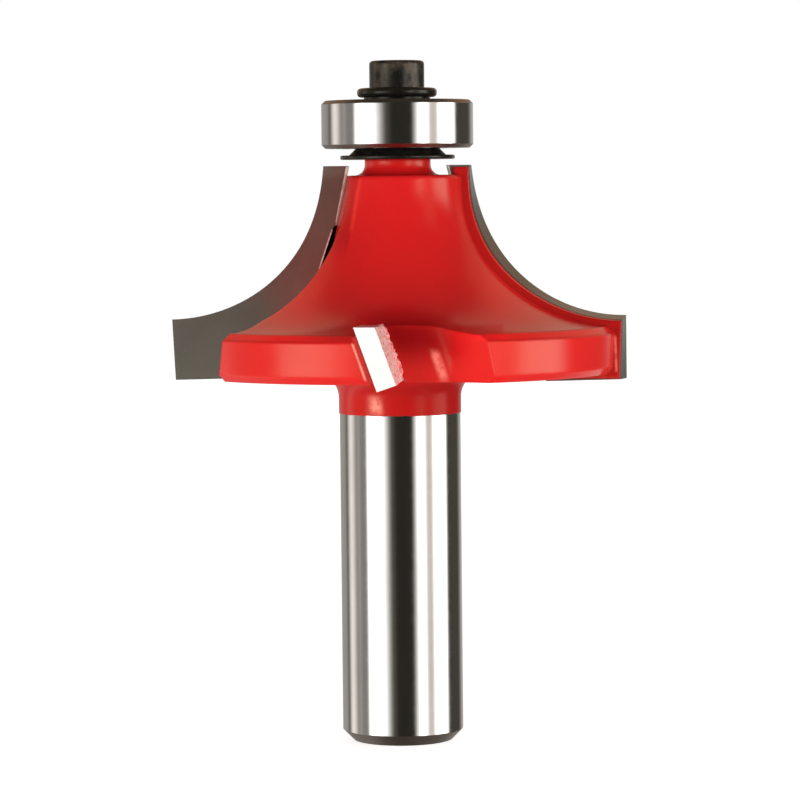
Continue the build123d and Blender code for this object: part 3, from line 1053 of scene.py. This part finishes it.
@dataclass
class BrazeBeads:
    """The lumpy bead of braze at the root of each shear tip's rake face, with lengths in millimetres."""

    finish: CoatedBraze = CoatedBraze()
    radius: float = 0.42
    top: Triple = (-1.95, -18.1, 44.5)
    foot: Triple = (0.08, -18.1, 39.3)
    rings: int = 90
    sides: int = 28
    lump_size: float = 0.32
    lump_share: float = 0.55
    seam_gap: float = 0.001

    def build(self, frame: dict) -> list[bpy.types.Object]:
        """Make both beads.


        Returns:
            The pieces.
        """
        material = self.finish.material()
        return [self.bead(f"braze_bead_{side + 1}", math.pi * side, material) for side in range(2)]

    def bead(self, name: str, turn: float, material: bpy.types.Material) -> bpy.types.Object:
        """Make one bead by wrapping a grid round the root line and lumping it.

        Args:
            name: The piece's name.
            turn: Angle about the bit's axis in radians.
            material: The finish.

        Returns:
            The piece.
        """
        shape = bmesh.new()
        bmesh.ops.create_grid(shape, x_segments=self.rings, y_segments=self.sides, size=0.5)
        start = Vector(self.top)
        along = Vector(self.foot) - start
        across = along.orthogonal().normalized()
        other = along.normalized().cross(across)
        for vertex in shape.verts:
            share = vertex.co.x + 0.5
            angle = (vertex.co.y + 0.5) * math.tau
            distance = min(share, 1 - share) * along.length
            width = math.sqrt(max(0.0, 1 - (1 - min(1.0, distance / self.radius)) ** 2))
            out = across * math.cos(angle) + other * math.sin(angle)
            where = start + along * share
            lump = noise.noise((where + out * self.radius) / self.lump_size)
            vertex.co = where + out * self.radius * width * (1 + self.lump_share * lump)
        bmesh.ops.remove_doubles(shape, verts=shape.verts, dist=self.seam_gap)
        placed = Matrix.Rotation(turn, 4, "Z") @ Matrix.Scale(MILLIMETRE, 4)
        bmesh.ops.transform(shape, matrix=placed, verts=shape.verts)
        bmesh.ops.recalc_face_normals(shape, faces=shape.faces)
        for face in shape.faces:
            face.smooth = True
        mesh = bpy.data.meshes.new(name)
        shape.to_mesh(mesh)
        shape.free()
        mesh.materials.append(material)
        piece = bpy.data.objects.new(name, mesh)
        bpy.context.scene.collection.objects.link(piece)
        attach(piece, Body.CUTTER.value)
        return piece


@dataclass
class PilotBearing:
    """The ball bearing: rings, shields, cage and balls."""

    finish: GroundSteel = GroundSteel(roughness=0.10, stretch=0.3)
    rings: tuple[str, ...] = ("bearing_inner_ring", "bearing_outer_ring")
    shields: tuple[str, ...] = ("bearing_shield_lower", "bearing_shield_upper")
    cage: str = "ball_cage"
    balls: int = 8

    def build(self, frame: dict) -> list[bpy.types.Object]:
        """Dress the bearing.


        Returns:
            The pieces.
        """
        material, work = Shader.material("ground_bearing_steel")
        work.finish(self.finish.shader(work))
        names = [*self.rings, *self.shields, self.cage]
        names += [f"ball_{number}" for number in range(1, self.balls + 1)]
        pieces = [frame["nodes"][name] for name in names]
        for piece in pieces:
            dress(piece, material)
        return pieces


@dataclass
class PilotClamp:
    """What holds the bearing: the shield below it, the collar above it and the cap screw."""

    turned_finish: BlackOxide = BlackOxide(roughness=0.22, mottle=0.1)
    screw_finish: BlackOxide = BlackOxide(roughness=0.29, mottle=1.0)

    def build(self, frame: dict) -> list[bpy.types.Object]:
        """Dress the clamp.


        Returns:
            The pieces.
        """
        turned = self.turned_finish.material("black_turned_steel")
        screw = self.screw_finish.material("black_screw_steel")
        made = []
        for name, material in (("lower_shield", turned), ("upper_collar", turned), ("cap_screw", screw)):
            piece = frame["nodes"][name]
            dress(piece, material)
            made.append(piece)
        return made


@dataclass(frozen=True)
class Panel:
    """One soft panel that polished faces mirror, by its bearing from the camera and its height in degrees.

    Each blur is half the width over which that edge fades out.
    """

    start: float
    end: float
    low: float
    high: float
    strength: float
    colour: Colour = WHITE
    start_blur: float = 2.0
    end_blur: float = 2.0
    low_blur: float = 6.0
    high_blur: float = 6.0

    def add(self, work: Shader, bearing: Value, height: Value, under: Value) -> Value:
        """Add the panel's light to what lies under it.

        Args:
            work: The world's tree.
            bearing: The direction's bearing in degrees.
            height: The direction's elevation in degrees.
            under: The colour that is already there.

        Returns:
            The colour with the panel.
        """
        share = work.times(
            work.step(bearing, around(self.start, self.start_blur)),
            work.step(bearing, around(self.end, self.end_blur), FALL),
            work.step(height, around(self.low, self.low_blur)),
            work.step(height, around(self.high, self.high_blur), FALL),
        )
        return work.blend(share, under, scaled(self.colour, self.strength))


@dataclass(frozen=True)
class Softbox:
    """A large rectangular light that shines at the bit, with lengths in metres and angles in degrees."""

    name: str
    bearing: float
    elevation: float
    distance: float
    width: float
    height: float
    power: float

    def build(self, aim: Vector) -> bpy.types.Object:
        """Make the light.

        Args:
            aim: The point it faces.

        Returns:
            The light object.
        """
        data = bpy.data.lights.new(self.name, "AREA")
        data.shape = "RECTANGLE"
        data.size = self.width
        data.size_y = self.height
        data.energy = self.power
        light = bpy.data.objects.new(self.name, data)
        turn = math.radians(self.bearing)
        rise = math.radians(self.elevation)
        out = Vector((math.sin(turn) * math.cos(rise), -math.cos(turn) * math.cos(rise), math.sin(rise)))
        turned = out.to_track_quat("Z", "Y").to_matrix().to_4x4()
        light.matrix_world = Matrix.Translation(aim + out * self.distance) @ turned
        light.visible_glossy = False
        bpy.context.scene.collection.objects.link(light)
        return light


@dataclass(frozen=True)
class PaleFloor:
    """A wide matt floor that turns to plain white far from the bit, with lengths in metres."""

    size: float = 6.0
    clear: float = 0.25
    white: float = 0.9
    colour: Colour = (0.92, 0.92, 0.92)
    roughness: float = 0.9
    gloss: float = 0.1
    glow: float = 0.72

    def material(self) -> bpy.types.Material:
        """Build the material.

        Returns:
            The material.
        """
        made, work = Shader.material("pale_floor")
        away = work.node("ShaderNodeVectorMath", operation="LENGTH")
        work.feed(away.inputs[0], work.place(even(1)))
        far = work.step(away.outputs["Value"], (self.clear, self.white))
        near_floor = work.principled(
            Base_Color=self.colour,
            Roughness=self.roughness,
            Specular_IOR_Level=self.gloss,
            Emission_Color=WHITE,
            Emission_Strength=self.glow,
        )
        work.finish(work.mix(far, near_floor, work.node("ShaderNodeEmission")))
        return made

    def build(self) -> bpy.types.Object:
        """Make the floor.

        Returns:
            The floor object.
        """
        shape = bmesh.new()
        bmesh.ops.create_grid(shape, x_segments=2, y_segments=2, size=self.size / 2)
        mesh = bpy.data.meshes.new("floor")
        shape.to_mesh(mesh)
        shape.free()
        floor = bpy.data.objects.new("floor", mesh)
        bpy.context.scene.collection.objects.link(floor)
        mesh.materials.append(self.material())
        floor.visible_glossy = False
        return floor


@dataclass(frozen=True)
class Surroundings:
    """The world: white to the camera, a soft fill to matt faces and panels to polished ones."""

    fill_colour: Colour = (0.26, 0.25, 0.24)
    zenith_share: float = 0.7
    zenith_limits: Span = (15.0, 75.0)
    dark: Colour = (0.1, 0.1, 0.1)
    panels: tuple[Panel, ...] = (
        Panel(-190, 190, -95, 95, 0.10, (1.0, 0.90, 0.78), 1.0, 1.0, 1.0, 1.0),
        Panel(-190, 190, -100, -22, 0.15, (1.0, 0.84, 0.70), 1.0, 1.0, 1.0, 10.0),
        Panel(-190, -128, -60, 22, 0.45, WARM_WHITE, 1.0, 8.0, 12.0, 8.0),
        Panel(-118, -99, -60, 22, 1.35, (1.0, 0.95, 0.92), 8.0, 11.0, 12.0, 8.0),
        Panel(-94, -80, -60, 22, 0.55, WARM_WHITE, 9.0, 8.0, 12.0, 8.0),
        Panel(-84, -64, -60, 22, 0.34, WARM_WHITE, 6.0, 3.0, 12.0, 8.0),
        Panel(-66, -33, -24, 4, 4.0, WHITE, 6.0, 18.0, 5.0, 3.0),
        Panel(-11, 23, -60, 60, 0.035, (1.0, 0.93, 0.76), 4.0, 7.0, 2.0, 2.0),
        Panel(32, 95.5, -24, 19, 4.0, WHITE, 12.0, 7.0, 5.0, 4.0),
        Panel(46, 66, -60, 36, 0.95, (1.0, 0.92, 0.87), 7.0, 7.0, 2.0, 2.0),
        Panel(103, 146, -60, 22, 0.085, (1.0, 0.93, 0.8), 3.0, 12.0, 6.0, 6.0),
        Panel(146, 190, -60, 22, 0.55, WARM_WHITE, 12.0, 1.0, 12.0, 8.0),
        Panel(112, 190, 12, 50, 0.52, COPPER_GLOW, 5.0, 1.0, 5.0, 5.0),
        Panel(-190, -112, 12, 50, 0.52, COPPER_GLOW, 1.0, 5.0, 5.0, 5.0),
    )

    def build(self) -> bpy.types.World:
        """Make the world and set it as the scene's.

        Returns:
            The world.
        """
        world = bpy.data.worlds.new("studio")
        bpy.context.scene.world = world
        world.use_nodes = True
        work = Shader(world.node_tree)
        way = work.split(Source.DIRECTION).outputs
        swung = work.math("ARCTAN2", way["X"], work.times(way["Y"], -1.0))
        bearing = work.times(swung, math.degrees(1))
        height = work.times(work.math("ARCSINE", way["Z"]), math.degrees(1))
        mirrored: Value = self.dark
        for panel in self.panels:
            mirrored = panel.add(work, bearing, height, mirrored)
        steep = work.step(work.math("ABSOLUTE", height), self.zenith_limits)
        matt = work.blend(steep, self.fill_colour, scaled(self.fill_colour, self.zenith_share))
        path = work.node("ShaderNodeLightPath")
        fill = work.blend(path.outputs["Is Glossy Ray"], matt, mirrored)
        shown = work.node("ShaderNodeBackground")
        work.feed(shown.inputs["Color"], work.blend(path.outputs["Is Camera Ray"], fill, WHITE))
        work.feed(work.node("ShaderNodeOutputWorld").inputs["Surface"], shown.outputs[0])
        return world


@dataclass(frozen=True)
class Viewpoint:
    """The camera in front of the bit, higher than its middle, tilted down and rolled by a few degrees.

    Its place and range are in metres, its angles in degrees, and its lens and sensor in millimetres.
    """

    distance: float = 0.367
    height: float = 0.0583
    pitch: float = 3.51
    roll: float = 0.577
    lens: float = 157.5
    sensor: float = 36.0
    nearest: float = 0.01
    farthest: float = 50.0

    def build(self) -> bpy.types.Object:
        """Make the camera and set it as the scene's.

        Returns:
            The camera object.
        """
        data = bpy.data.cameras.new("camera")
        data.lens = self.lens
        data.sensor_width = self.sensor
        data.clip_start = self.nearest
        data.clip_end = self.farthest
        camera = bpy.data.objects.new("camera", data)
        pitch = math.radians(self.pitch)
        roll = math.radians(self.roll)
        forward = Vector((0, math.cos(pitch), -math.sin(pitch)))
        right = Vector((1, 0, 0))
        up = Vector((0, math.sin(pitch), math.cos(pitch)))
        across = right * math.cos(roll) - up * math.sin(roll)
        above = up * math.cos(roll) + right * math.sin(roll)
        turned = Matrix((across, above, -forward)).transposed().to_4x4()
        camera.matrix_world = Matrix.Translation((0, -self.distance, self.height)) @ turned
        bpy.context.scene.collection.objects.link(camera)
        bpy.context.scene.camera = camera
        return camera


@dataclass
class Studio:
    """Floor, camera, lights and surroundings."""

    floor: PaleFloor = PaleFloor()
    viewpoint: Viewpoint = Viewpoint()
    surroundings: Surroundings = Surroundings()
    aim: Triple = (0, 0, 0.036)
    softboxes: tuple[Softbox, ...] = (
        Softbox("left_softbox", -42, 3, 0.7, 0.45, 0.14, 2.9),
        Softbox("right_softbox", 56, 4, 0.7, 0.55, 0.16, 2.7),
        Softbox("back_softbox", 180, 20, 0.8, 0.8, 0.4, 1.8),
    )

    def build(self) -> list[bpy.types.Object]:
        """Build the whole studio.

        Returns:
            The floor, the camera and the lights.
        """
        made = [self.floor.build(), self.viewpoint.build()]
        made += [box.build(Vector(self.aim)) for box in self.softboxes]
        self.surroundings.build()
        scene = bpy.context.scene
        scene.view_settings.view_transform = "Standard"
        scene.view_settings.look = "None"
        return made


def main() -> None:
    """Build the scene, sub-assembly by sub-assembly."""
    logging.basicConfig(level=logging.INFO, format="%(name)s: %(message)s")
    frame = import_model()
    for assembly in (CutterHead(), CarbideCutters(), BrazeBeads(), PilotBearing(), PilotClamp()):
        for piece in assembly.build(frame):
            LOG.info("%s: %s", type(assembly).__name__, piece.name)
    for item in Studio().build():
        LOG.info("studio: %s", item.name)


if __name__ == "__main__":
    main()
